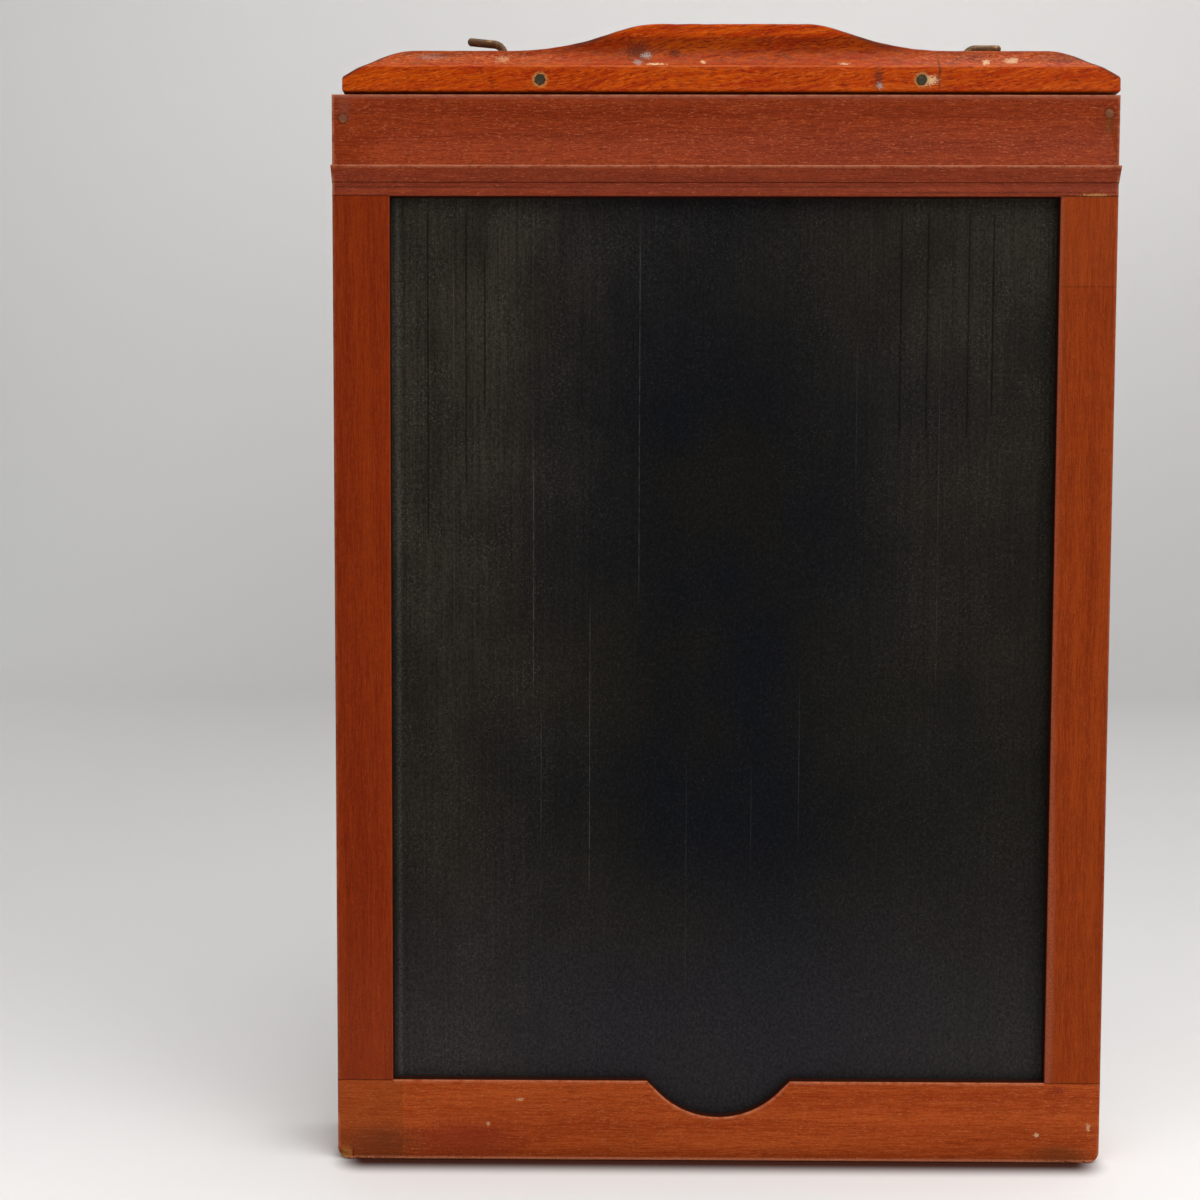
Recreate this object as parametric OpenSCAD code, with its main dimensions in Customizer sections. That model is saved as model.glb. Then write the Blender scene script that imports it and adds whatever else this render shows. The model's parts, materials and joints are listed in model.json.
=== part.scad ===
// Double dark slide: a wooden holder that carries two glass plates back to back.
// It stands upright. X is its width, Y its thickness with the front at -Y, and Z its height.
// The origin is the middle of its foot, halfway through its thickness.
// The rear half is the front half turned half a turn about Z, so most modules draw the front
// piece, and both_sides() or rear() turns it.
// Distances named *_y are measured outward from the middle plane.

/* [Frame] */
// Width of the frame
frame_w = 150; // [142:1:170]
// Height of the frame, without the slide handles
frame_h = 207; // [190:1:230]
// Width of each upright stile, seen from the front
stile_w = 11; // [10:0.5:14]
// Height of the bottom rail, seen from the front
bottom_rail_h = 16; // [15:0.5:20]
// Height of the top rail, seen from the front
top_rail_h = 19.1; // [19:0.1:23]
// How far each dark slide reaches into the stiles
sheet_grip = 3; // [2:0.5:4]
// Radius of the frame's two lower corners, seen from the front
foot_r = 2.2; // [0.8:0.2:4]

/* [Layers through the thickness] */
// Thickness of the lip in front of each dark slide
lip_t = 1.8; // [1.4:0.1:2.4]
// Thickness of each dark slide's sheet
sheet_t = 1.3; // [1.1:0.1:1.8]
// Thickness of the ledge that holds the plate's ends, behind the slide
ledge_t = 1.2; // [1:0.1:1.6]
// Depth of each plate chamber, behind the ledge
chamber_t = 3.2; // [3.2:0.1:4]
// Thickness of the sheet-metal septum between the two plates
septum_t = 0.6; // [0.4:0.1:0.8]

/* [Light-lock rib] */
// Height of the rib on each face of the top rail
rib_h = 2.8; // [2:0.1:3.5]
// How far the rib stands out of the face
rib_out = 1.1; // [0.6:0.1:1.6]
// Distance from the top of the frame down to the rib's crest
rib_drop = 13.6; // [12:0.1:14]

/* [Finger notch] */
// Depth of the notch in each lip of the bottom rail
notch_depth = 7.2; // [5:0.1:8]
// Radius of the notch's round bottom
notch_r = 16.5; // [14:0.5:20]

/* [Slide handles] */
// Length of each handle
handle_len = 148; // [140:1:150]
// Height of a handle at its raised middle
handle_h = 13.2; // [12:0.1:15]
// Height of a handle at its shoulders
shoulder_h = 8.4; // [7.5:0.1:9]
// Height of a handle's square ends
end_h = 2.7; // [2:0.1:4]
// Height of the flat band along the handle's front
band_h = 4.7; // [4:0.1:5]
// Width of the gap between the two handles, for the lock hooks
handle_gap = 3; // [2.4:0.1:4]

/* [Lock hooks] */
// Diameter of the hook's wire
wire_d = 1.5; // [1.2:0.1:1.8]
// Length of each hook's arm, from the middle of its shank to its tip
arm_len = 7.2; // [6:0.1:8]

/* [Hidden] */
$fn = 64;

stained_wood = [0.50, 0.20, 0.09];
rail_wood = [0.56, 0.24, 0.11];
handle_wood = [0.69, 0.26, 0.06];
slide_black = [0.12, 0.11, 0.11];
old_brass = [0.45, 0.36, 0.20];
spring_steel = [0.55, 0.56, 0.58];
black_velvet = [0.06, 0.05, 0.06];
black_metal = [0.10, 0.10, 0.11];

cut = 1;            // how far a cutting shape runs past the face it opens
gap = 0.1;          // clearance beside a sliding sheet, on each face
end_gap = 0.3;      // clearance at a sliding sheet's edges
arc_steps = 16;     // straight steps in each computed arc
leaf_end = 1.2;     // room for a bowed leaf's square-cut end, in thicknesses of the leaf

// Layers, as distances from the middle plane.
septum_y = septum_t / 2;
plate_y = septum_y + chamber_t;
groove_in_y = plate_y + ledge_t;
groove_out_y = groove_in_y + sheet_t + 2 * gap;
face_y = groove_out_y + lip_t;
tenon_y = 2.5;      // half thickness of the rails' stub tenons

// Opening and pockets.
half_w = frame_w / 2;
open_x = half_w - stile_w;
open_low = bottom_rail_h;
open_high = frame_h - top_rail_h;
groove_x = open_x + sheet_grip + end_gap;
plate_low = open_low - 3.2;
plate_high = open_high + 6.7;
ledge_high = plate_high + 2.8;
tenon_x = open_x + 6;
septum_low = plate_low - 1.8;
septum_high = plate_high + 1.6;
septum_x = open_x + 2;

// Dark slide at rest.
notch_low = bottom_rail_h - notch_depth;
sheet_low = notch_low - 2.3;
pocket_low = sheet_low - end_gap;
sheet_x = open_x + sheet_grip;
sheet_back_y = groove_in_y + gap;
handle_low = frame_h + 0.6;
sheet_top = handle_low + 4;

// Handle outline. The handle sits a little off centre, flush with one side of the frame.
handle_x = half_w - handle_len / 2;
crown_x = 14;        // half length of the straight top of the raised middle
crown_r = 20;        // radius where the raised middle turns down
sweep_r = 66;        // radius of the long hollow down to the shoulder
sweep_angle = 17;    // steepest slope between the two
end_r = 14;          // radius where the shoulder turns down at each end
end_angle = 30;      // slope from there down to the square end
scoop_r = 4.6;       // radius of the finger groove along the handle
scoop_depth = 2;     // depth of the finger groove below the flat band
land_set = 1.4;      // how far the land above the groove is set back from the band
handle_pin_d = 1.9;
handle_pin_drop = 2.15;
handle_pin_x = [for (side = [-1, 1]) handle_x + side * 36.25];

// Corner pins through the cheeks: place across, and distance below the frame's top.
corner_pin_d = 1.6;
corner_pins = [[-half_w + 2.2, 4.6], [half_w - 2.1, 3.5]];

// Light trap across the top rail.
trap_x = open_x - 0.5;
trap_low = frame_h - 8.8;
trap_h = 5.6;
trap_y = 3;
velvet_t = 0.95;
trap_spring_t = 0.15;
trap_seat_y = trap_y + leaf_end * trap_spring_t;
trap_spring_rise = groove_in_y + gap / 2 - velvet_t - trap_seat_y;

// Springs behind the plates and at their upper ends.
plate_spring_len = 90;
plate_spring_w = 9;
plate_spring_t = 0.25;
plate_spring_rise = 1.35;
plate_spring_z = [open_low + 42, open_high - 42];
rivet_d = 1.4;
rivet_head_d = 3;
rivet_head_h = 0.7;
end_spring_len = 44;
end_spring_w = 2.2;
end_spring_t = 0.25;
end_spring_rise = 2.9;

// Lock hooks: place across, height of the arm above the frame, and slope of the arm.
hook_hole_d = wire_d + 0.1;
hook_depth = 8.6;
bend_r = 2.2;
left_hook_x = -42.7;
left_arm_z = frame_h + 12.5;
left_arm_slope = 5.5;
right_hook_x = 47.4;
right_arm_z = frame_h + 11.6;

// Points of an arc about a centre, from one angle to another.
function arc(centre, r, from, to) = [
    for (i = [0:arc_steps])
        let (a = from + (to - from) * i / arc_steps)
        centre + r * [cos(a), sin(a)]
];

// Radius of the circle that rises by rise over a chord.
function bow_r(chord, rise) = (chord * chord / 4 + rise * rise) / (2 * rise);

// A box between its low and high limits on each axis.
module slab(x, y, z) {
    translate([x[0], y[0], z[0]]) cube([x[1] - x[0], y[1] - y[0], z[1] - z[0]]);
}

module rear() {
    rotate([0, 0, 180]) children();
}

module both_sides() {
    children();
    rear() children();
}

// Stands a shape drawn in X and Z upright, as a prism between two values of Y.
module upright(y_low, y_high) {
    translate([0, y_high, 0]) rotate([90, 0, 0]) linear_extrude(y_high - y_low) children();
}

// Lays a section drawn in Y and Z along X.
module along_x(length) {
    translate([-length / 2, 0, 0]) rotate([90, 0, 90]) linear_extrude(length) children();
}

// Outline of the frame's lower part, seen from the front, with its two round corners.
module foot_outline() {
    polygon(concat(
        arc([half_w - foot_r, foot_r], foot_r, 270, 360),
        [[half_w, open_low], [-half_w, open_low]],
        arc([-half_w + foot_r, foot_r], foot_r, 180, 270)
    ));
}

// A stile runs the full height. It is thinner at both ends, where the cheeks lap over it.
module right_hand_stile() {
    difference() {
        union() {
            slab([open_x, half_w], [-face_y, face_y], [open_low, open_high]);
            slab([open_x, half_w], [-groove_out_y, groove_out_y], [open_high - cut, frame_h]);
            intersection() {
                slab([open_x, half_w], [-groove_out_y, groove_out_y], [0, open_low + cut]);
                upright(-groove_out_y, groove_out_y) foot_outline();
            }
        }
        both_sides() slide_groove();
        septum_slot();
        bottom_tenons();
        top_tenons();
    }
}

// Space for one dark slide between its pocket in the bottom rail and the top of the frame.
module slide_groove() {
    slab([-groove_x, groove_x], [-groove_out_y, -groove_in_y], [pocket_low, frame_h + cut]);
}

module left_stile() {
    color(stained_wood) difference() {
        mirror([1, 0, 0]) right_hand_stile();
        both_sides() corner_pin_pair();
    }
}

module right_stile() {
    color(stained_wood) difference() {
        right_hand_stile();
        both_sides() corner_pin_pair();
    }
}

// Stub tenons of the rails, which enter both stiles.
module bottom_tenons() {
    slab([-tenon_x, tenon_x], [-tenon_y, tenon_y], [pocket_low - 4, septum_low - 1]);
}

module top_tenons() {
    slab([-tenon_x, tenon_x], [-tenon_y, tenon_y], [septum_high + 1, frame_h - 1.5]);
}

module septum_slot() {
    slab([-septum_x, septum_x], [-septum_y, septum_y], [septum_low, septum_high]);
}

module bottom_rail() {
    color(rail_wood) difference() {
        union() {
            slab([-open_x, open_x], [-groove_out_y, groove_out_y], [0, pocket_low]);
            slab([-open_x, open_x], [-plate_y, plate_y], [pocket_low - cut, plate_low]);
            bottom_tenons();
        }
        septum_slot();
    }
}

module top_rail() {
    color(stained_wood) difference() {
        union() {
            slab([-open_x, open_x], [-plate_y, plate_y], [plate_high, ledge_high]);
            slab([-open_x, open_x], [-groove_in_y, groove_in_y], [ledge_high, frame_h]);
            top_tenons();
        }
        septum_slot();
        both_sides()
            slab([-trap_x, trap_x], [-groove_in_y - cut, -trap_y], [trap_low, trap_low + trap_h]);
        for (x = [left_hook_x, right_hook_x])
            translate([x, 0, frame_h - hook_depth - gap])
                cylinder(h = hook_depth + cut, d = hook_hole_d);
    }
}

// Finger notch, seen from the front: a round bottom that runs into straight flares.
module notch_outline() {
    half_angle = 44;
    centre = [0, notch_low + notch_r];
    edge = centre + notch_r * [sin(half_angle), -cos(half_angle)];
    rise = bottom_rail_h + cut - edge[1];
    polygon(concat(
        arc(centre, notch_r, 270 - half_angle, 270 + half_angle),
        [edge + [rise, rise], [-edge[0] - rise, edge[1] + rise]]
    ));
}

// The front cheek of the bottom rail.
module bottom_cheek() {
    difference() {
        upright(-face_y, -groove_out_y) foot_outline();
        upright(-face_y - cut, 0) notch_outline();
    }
}

module front_bottom_cheek() {
    color(rail_wood) bottom_cheek();
}

module rear_bottom_cheek() {
    color(rail_wood) rear() bottom_cheek();
}

// The front cheek of the top rail, with the light-lock rib and the quirk at the rib's foot.
module top_cheek() {
    crest = frame_h - rib_drop;
    foot = crest - rib_h;
    quirk = 0.35;
    difference() {
        union() {
            slab([-half_w, half_w], [-face_y, -groove_out_y], [open_high, frame_h]);
            along_x(frame_w) polygon([
                [-face_y, foot], [-face_y + cut / 2, foot], [-face_y + cut / 2, crest],
                [-face_y - rib_out, crest], [-face_y - rib_out, crest - quirk]
            ]);
        }
        along_x(frame_w + cut) polygon([
            [-face_y + quirk, foot - quirk / 2], [-face_y - cut, foot + quirk],
            [-face_y - cut, foot - quirk]
        ]);
        corner_pin_pair();
    }
}

module front_top_cheek() {
    color(stained_wood) top_cheek();
}

module rear_top_cheek() {
    color(stained_wood) rear() top_cheek();
}

// Ledge strips between the dark slide and the plate, which hold the plate's ends.
module bottom_ledge() {
    difference() {
        slab([-open_x, open_x], [-groove_in_y, -plate_y], [pocket_low, open_low]);
        upright(-face_y, 0) notch_outline();
    }
}

module top_ledge() {
    slab([-open_x, open_x], [-groove_in_y, -plate_y], [open_high, ledge_high]);
}

module front_bottom_ledge() {
    color(rail_wood) bottom_ledge();
}

module rear_bottom_ledge() {
    color(rail_wood) rear() bottom_ledge();
}

module front_top_ledge() {
    color(stained_wood) top_ledge();
}

module rear_top_ledge() {
    color(stained_wood) rear() top_ledge();
}

module corner_pin_pair() {
    for (pin = corner_pins)
        translate([pin[0], -face_y + 4.5, frame_h - pin[1]])
            rotate([90, 0, 0]) cylinder(h = 4.5, d = corner_pin_d);
}

module front_corner_pins() {
    color(old_brass) corner_pin_pair();
}

module rear_corner_pins() {
    color(old_brass) rear() corner_pin_pair();
}

module trap_velvet() {
    slab([-trap_x + gap, trap_x - gap], [-groove_in_y - gap / 2, -groove_in_y - gap / 2 + velvet_t],
         [trap_low + gap, trap_low + trap_h - gap]);
}

module front_trap_velvet() {
    color(black_velvet) trap_velvet();
}

module rear_trap_velvet() {
    color(black_velvet) rear() trap_velvet();
}

// A leaf of even thickness, bowed so that its ends lie on y = 0 and its middle rises towards +Y.
module bowed_leaf(chord, rise, thickness) {
    r = bow_r(chord, rise);
    intersection() {
        translate([0, rise - r]) difference() {
            circle(r = r, $fn = 256);
            circle(r = r - thickness, $fn = 256);
        }
        translate([-chord / 2, -thickness]) square([chord, rise + 2 * thickness]);
    }
}

module trap_spring() {
    translate([0, -trap_seat_y, trap_low + trap_h / 2]) along_x(2 * trap_x - 1)
        rotate(90) bowed_leaf(trap_h - 0.6, trap_spring_rise, trap_spring_t);
}

module front_trap_spring() {
    color(spring_steel) trap_spring();
}

module rear_trap_spring() {
    color(spring_steel) rear() trap_spring();
}

module rivet_holes(y_low, y_high, d) {
    for (z = plate_spring_z)
        translate([0, y_high, z]) rotate([90, 0, 0]) cylinder(h = y_high - y_low, d = d);
}

module septum() {
    color(black_metal) difference() {
        slab([-septum_x, septum_x], [-septum_y, septum_y], [septum_low, septum_high]);
        rivet_holes(-septum_y - cut, septum_y + cut, rivet_d);
    }
}

// Two long leaves riveted to the septum at their middles; their free ends press on the plate.
module plate_springs() {
    difference() {
        for (z = plate_spring_z)
            translate([0, -septum_y - plate_spring_rise, z - plate_spring_w / 2])
                linear_extrude(plate_spring_w)
                    bowed_leaf(plate_spring_len, plate_spring_rise, plate_spring_t);
        rivet_holes(-plate_y, 0, rivet_d);
    }
}

module front_plate_springs() {
    color(spring_steel) plate_springs();
}

module rear_plate_springs() {
    color(spring_steel) rear() plate_springs();
}

module spring_rivets() {
    seat = septum_y + plate_spring_t;
    color(old_brass) {
        rivet_holes(-seat, seat, rivet_d);
        both_sides() for (z = plate_spring_z)
            translate([0, -seat, z]) rotate([90, 0, 0]) rivet_head();
    }
}

// A low domed head, flat side at z = 0.
module rivet_head() {
    r = bow_r(rivet_head_d, rivet_head_h);
    intersection() {
        translate([0, 0, rivet_head_h - r]) sphere(r = r);
        cylinder(h = rivet_head_h + cut, d = rivet_head_d + cut);
    }
}

// A bowed leaf above the plate's upper end; it pushes the plate down behind the bottom ledge.
module end_spring() {
    translate([0, -septum_y - 0.4, plate_high - leaf_end * end_spring_t]) rotate([90, 0, 0])
        linear_extrude(end_spring_w)
            mirror([0, 1]) bowed_leaf(end_spring_len, end_spring_rise, end_spring_t);
}

module front_end_spring() {
    color(spring_steel) end_spring();
}

module rear_end_spring() {
    color(spring_steel) rear() end_spring();
}

module handle_pin_pair(y_low, y_high) {
    for (x = handle_pin_x)
        translate([x, y_high, handle_low + handle_pin_drop])
            rotate([90, 0, 0]) cylinder(h = y_high - y_low, d = handle_pin_d);
}

module slide_sheet() {
    difference() {
        slab([-sheet_x, sheet_x], [-sheet_back_y - sheet_t, -sheet_back_y], [sheet_low, sheet_top]);
        handle_pin_pair(-face_y, 0);
    }
}

module front_slide_sheet() {
    color(slide_black) slide_sheet();
}

module rear_slide_sheet() {
    color(slide_black) rear() slide_sheet();
}

// One half of the handle's top edge, from the middle of the crown out to the square end.
function crown_edge() = arc([crown_x, handle_h - crown_r], crown_r, 90, 90 - sweep_angle);
function sweep_edge(x) = arc([x, shoulder_h + sweep_r], sweep_r, 270 - sweep_angle, 270);
function end_run() =
    let (straight = (shoulder_h - end_h - end_r * (1 - cos(end_angle))) / tan(end_angle))
    end_r * sin(end_angle) + straight;
function end_edge() = concat(
    arc([handle_len / 2 - end_run(), shoulder_h - end_r], end_r, 90, 90 - end_angle),
    [[handle_len / 2, end_h]]
);

// Where the long hollow ends: after the crown's turn, the straight slope and its own length.
function shoulder_x() =
    let (
        turned = crown_r * (1 - cos(sweep_angle)) + sweep_r * (1 - cos(sweep_angle)),
        straight = max(0.1, handle_h - shoulder_h - turned) / tan(sweep_angle)
    )
    crown_x + (crown_r + sweep_r) * sin(sweep_angle) + straight;

function flip(points) = [for (i = [len(points) - 1:-1:0]) [-points[i][0], points[i][1]]];

module handle_outline() {
    half = concat(crown_edge(), sweep_edge(shoulder_x()), end_edge(), [[handle_len / 2, 0]]);
    polygon(concat(flip(half), half));
}

// Section of the handle: flat band, hollow finger groove, and a land set back above it.
module handle_section() {
    inner_y = handle_gap / 2;
    scoop_y = face_y - scoop_depth + scoop_r;
    scoop_z = band_h + sqrt(pow(scoop_r, 2) - pow(scoop_y - face_y, 2));
    difference() {
        translate([-face_y, 0]) square([face_y - inner_y, handle_h + cut]);
        translate([-scoop_y, scoop_z]) circle(r = scoop_r, $fn = 128);
        translate([-face_y - cut, scoop_z]) square([cut + land_set, handle_h]);
    }
}

module slide_handle() {
    difference() {
        translate([handle_x, 0, handle_low]) intersection() {
            upright(-face_y - cut, 0) handle_outline();
            along_x(handle_len + 2 * cut) handle_section();
        }
        slab([-sheet_x, sheet_x], [-sheet_back_y - sheet_t, -sheet_back_y],
             [handle_low - cut, sheet_top]);
        handle_pin_pair(-face_y - cut, -handle_gap / 2 - 0.6);
    }
}

module front_slide_handle() {
    color(handle_wood) slide_handle();
}

module rear_slide_handle() {
    color(handle_wood) rear() slide_handle();
}

module front_handle_pins() {
    color(old_brass) handle_pin_pair(-face_y, -handle_gap / 2 - 0.6);
}

module rear_handle_pins() {
    color(old_brass) rear() handle_pin_pair(-face_y, -handle_gap / 2 - 0.6);
}

// A bent wire: a shank that stands in the top rail, a bend, and an arm that points to +X.
// arm_z is the height of the arm's middle line where it leaves the bend.
module lock_hook(arm_z, slope) {
    turn = 90 - slope;
    bend_z = arm_z - bend_r * sin(turn);
    straight = (arm_len - wire_d / 2 - bend_r * (1 - cos(turn))) / cos(slope);
    translate([0, 0, frame_h - hook_depth])
        cylinder(h = bend_z - frame_h + hook_depth, d = wire_d);
    translate([bend_r, 0, bend_z]) rotate([90, 0, 0]) rotate([0, 0, 180 - turn]) {
        rotate_extrude(angle = turn) translate([bend_r, 0]) circle(d = wire_d);
        translate([bend_r, 0, 0]) rotate([90, 0, 0]) {
            cylinder(h = straight, d = wire_d);
            translate([0, 0, straight]) sphere(d = wire_d);
        }
    }
}

module left_lock_hook() {
    color(old_brass) translate([left_hook_x, 0, 0]) rotate([0, 0, 180])
        lock_hook(left_arm_z, left_arm_slope);
}

module right_lock_hook() {
    color(old_brass) translate([right_hook_x, 0, 0]) lock_hook(right_arm_z, 0);
}

left_stile();
right_stile();
bottom_rail();
top_rail();
front_bottom_cheek();
rear_bottom_cheek();
front_top_cheek();
rear_top_cheek();
front_bottom_ledge();
rear_bottom_ledge();
front_top_ledge();
rear_top_ledge();
front_corner_pins();
rear_corner_pins();
front_trap_velvet();
rear_trap_velvet();
front_trap_spring();
rear_trap_spring();
septum();
front_plate_springs();
rear_plate_springs();
spring_rivets();
front_end_spring();
rear_end_spring();
front_slide_sheet();
front_slide_handle();
front_handle_pins();
rear_slide_sheet();
rear_slide_handle();
rear_handle_pins();
left_lock_hook();
right_lock_hook();
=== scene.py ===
"""Looks of a wooden double dark slide: the worn wood, the black slides and the small brass parts.

Lengths are in millimetres until a mesh is made; the scene itself is in metres.
X is the width, -Y the front and +Z up, as in the frame that is loaded.
"""

import json
import math

import bmesh
import bpy
from mathutils import Matrix, Vector, noise

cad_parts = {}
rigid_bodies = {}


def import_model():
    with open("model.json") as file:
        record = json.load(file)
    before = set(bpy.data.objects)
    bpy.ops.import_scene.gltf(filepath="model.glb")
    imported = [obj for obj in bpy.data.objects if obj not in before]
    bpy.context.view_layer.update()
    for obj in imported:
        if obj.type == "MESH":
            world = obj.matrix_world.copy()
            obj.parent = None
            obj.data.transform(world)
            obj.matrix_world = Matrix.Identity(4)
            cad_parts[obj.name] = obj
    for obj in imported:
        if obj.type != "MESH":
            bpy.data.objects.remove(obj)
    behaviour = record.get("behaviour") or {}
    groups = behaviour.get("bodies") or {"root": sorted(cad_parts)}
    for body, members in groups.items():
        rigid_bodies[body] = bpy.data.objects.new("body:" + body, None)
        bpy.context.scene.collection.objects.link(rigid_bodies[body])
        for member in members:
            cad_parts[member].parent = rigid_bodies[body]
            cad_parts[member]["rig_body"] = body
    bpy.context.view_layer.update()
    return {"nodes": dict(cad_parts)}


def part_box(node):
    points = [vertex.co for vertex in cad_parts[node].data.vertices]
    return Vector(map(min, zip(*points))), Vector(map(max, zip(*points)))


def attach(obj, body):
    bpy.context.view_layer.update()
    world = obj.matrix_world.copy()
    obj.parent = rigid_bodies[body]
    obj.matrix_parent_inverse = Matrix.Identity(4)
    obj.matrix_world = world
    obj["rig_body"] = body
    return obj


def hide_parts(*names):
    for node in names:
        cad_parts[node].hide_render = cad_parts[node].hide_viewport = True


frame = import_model()

MM = 0.001
WELD = 1e-6     # points nearer to each other than this are one, in metres


# ---------------------------------------------------------------- places taken from the frame

def box_mm(node):
    """Lowest and highest corner of a CAD node, in millimetres."""
    low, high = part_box(node)
    return low / MM, high / MM


stile_low, stile_high = box_mm("right_stile")
top_cheek_low, top_cheek_high = box_mm("front_top_cheek")
bottom_cheek_low, bottom_cheek_high = box_mm("front_bottom_cheek")
handle_low, handle_high = box_mm("front_slide_handle")
handle_pins_low, handle_pins_high = box_mm("front_handle_pins")
corner_pins_low, corner_pins_high = box_mm("front_corner_pins")

HALF_W = stile_high.x
OPEN_X = stile_low.x
FRAME_H = top_cheek_high.z
OPEN_LOW = bottom_cheek_high.z
OPEN_HIGH = top_cheek_low.z
FACE_Y = -bottom_cheek_low.y
RIB_Y = -top_cheek_low.y
RIB_DROP = 13.6         # from the frame's top to the light-lock rib's crest
RIB_SLOPE_H = 2.8       # height of the slope below that crest
RIB_CREST = FRAME_H - RIB_DROP
RIB_FOOT = RIB_CREST - RIB_SLOPE_H
NOTCH_R = 16.5          # the round finger notch in the bottom cheek
NOTCH_DEPTH = 7.2
NOTCH_LOW = OPEN_LOW - NOTCH_DEPTH
PIN_R = (handle_pins_high.z - handle_pins_low.z) / 2
PIN_Z = (handle_pins_high.z + handle_pins_low.z) / 2
PIN_X = [handle_pins_low.x + PIN_R, handle_pins_high.x - PIN_R]
PIN_HOLE_Y = 1.9        # how near the middle plane the handle pins' holes reach
PIN_HOLE_GAP = 0.06
CORNER_PIN_R = 0.8
CORNER_PINS = [
    (corner_pins_low.x + CORNER_PIN_R, corner_pins_low.z + CORNER_PIN_R),
    (corner_pins_high.x - CORNER_PIN_R, corner_pins_high.z - CORNER_PIN_R),
]


# ---------------------------------------------------------------- meshes

# Angles between neighbouring faces, in degrees.
FLAT_ANGLE = 0.3        # below this the faces are one
ARRIS_ANGLE = 25        # above this the edge is an arris and gets rounded
SHARP_ANGLE = 30        # above this the edge is shaded as sharp
CUT_ANGLE = 38          # the same, on pieces with chips or holes cut into them


def new_object(name, mesh):
    obj = bpy.data.objects.new(name, mesh)
    bpy.context.scene.collection.objects.link(obj)
    return obj


def mesh_object(name, bm):
    mesh = bpy.data.meshes.new(name)
    bm.to_mesh(mesh)
    bm.free()
    return new_object(name, mesh)


def bake(obj, helpers=()):
    """Turns the object's modifiers into its mesh, and deletes the helpers they used."""
    bpy.context.view_layer.update()
    graph = bpy.context.evaluated_depsgraph_get()
    mesh = bpy.data.meshes.new_from_object(obj.evaluated_get(graph))
    obj.modifiers.clear()
    obj.data = mesh
    for helper in helpers:
        bpy.data.objects.remove(helper)


def smooth_shade(mesh, angle):
    mesh.shade_smooth()
    mesh.set_sharp_from_angle(angle=math.radians(angle))


def cut_away(obj, cutters):
    """Cuts closed meshes out of obj; its large flat faces keep their flat shading."""
    for cutter in cutters:
        cutter.hide_render = True
        modifier = obj.modifiers.new("cut", "BOOLEAN")
        modifier.operation = "DIFFERENCE"
        modifier.solver = "EXACT"
        modifier.object = cutter
    bake(obj, cutters)
    smooth_shade(obj.data, CUT_ANGLE)
    normals = obj.modifiers.new("normals", "WEIGHTED_NORMAL")
    normals.keep_sharp = True
    normals.weight = 90
    bake(obj)


def block(low, high):
    """A cutter: a box between two corners."""
    bm = bmesh.new()
    middle = (Vector(low) + Vector(high)) / 2 * MM
    size = (Vector(high) - Vector(low)) * MM
    bmesh.ops.create_cube(bm, size=1, matrix=Matrix.LocRotScale(middle, None, size))
    return mesh_object("cutter", bm)


def drill(x, z, y_low, y_high, radius):
    """A cutter: a cylinder along Y."""
    bm = bmesh.new()
    place = Matrix.Translation(Vector((x, (y_low + y_high) / 2, z)) * MM)
    turn = Matrix.Rotation(math.radians(-90), 4, "X")
    bmesh.ops.create_cone(
        bm, cap_ends=True, segments=48, radius1=radius * MM, radius2=radius * MM,
        depth=(y_high - y_low) * MM, matrix=place @ turn,
    )
    return mesh_object("cutter", bm)


def splinter(centre, size, seed):
    """A cutter: a lumpy pebble, for a chip knocked out of the wood."""
    bm = bmesh.new()
    bmesh.ops.create_icosphere(bm, subdivisions=3, radius=1)
    for vertex in bm.verts:
        lump = noise.noise(vertex.co * 1.7 + Vector((seed, 0, 0)))
        reach = Vector(c * s for c, s in zip(vertex.co, size))
        vertex.co = (Vector(centre) + reach * (1 + 0.45 * lump)) * MM
    return mesh_object("cutter", bm)


def turned(centre, rear):
    """A place on the front, or the same place on the rear."""
    x, y, z = centre
    return (-x, -y, z) if rear else (x, y, z)


# ---------------------------------------------------------------- frame pieces

ARRIS = 0.38        # width of an exposed arris, worn round
HAIRLINE = 0.05     # width of the edges where two pieces butt
SHEET_EDGE = 0.15   # width of the arrises of a dark slide's sheet
FOOT_R = 1.4        # the frame's two bottom corners are worn to this radius


def on(value, *planes):
    return any(abs(value - plane) < 0.02 for plane in planes)


def stile_width(middle):
    """How wide the arris at this edge of a stile is."""
    x, y, z = abs(middle.x), abs(middle.y), middle.z
    if not on(y, FACE_Y) or on(z, OPEN_LOW, OPEN_HIGH):
        return HAIRLINE
    return ARRIS if on(x, HALF_W) else 0.8 * ARRIS


def cheek_width(middle):
    """How wide the arris at this edge of a cheek is."""
    x, y, z = abs(middle.x), abs(middle.y), middle.z
    if on(x, HALF_W) and on(z, 0):
        return FOOT_R
    if on(y, RIB_Y) and not on(x, HALF_W):
        return 0.3 * ARRIS
    if not on(y, FACE_Y):
        return HAIRLINE
    if RIB_CREST + 1 < z < FRAME_H - 1 and x < HALF_W - 1:
        return 0    # rims of the pin holes
    if on(z, OPEN_LOW, OPEN_HIGH) and x > OPEN_X:
        return HAIRLINE
    if RIB_FOOT - 1 < z < RIB_CREST + 0.1 and not on(x, HALF_W):
        return 0    # the rib's foot
    return ARRIS


def core_width(middle):
    """How wide the arris at this edge of a rail's core is."""
    return FOOT_R if on(abs(middle.x), HALF_W) and on(middle.z, 0) else HAIRLINE


def sheet_width(middle):
    """How wide the arris at this edge of a dark slide's sheet is."""
    return SHEET_EDGE


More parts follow.
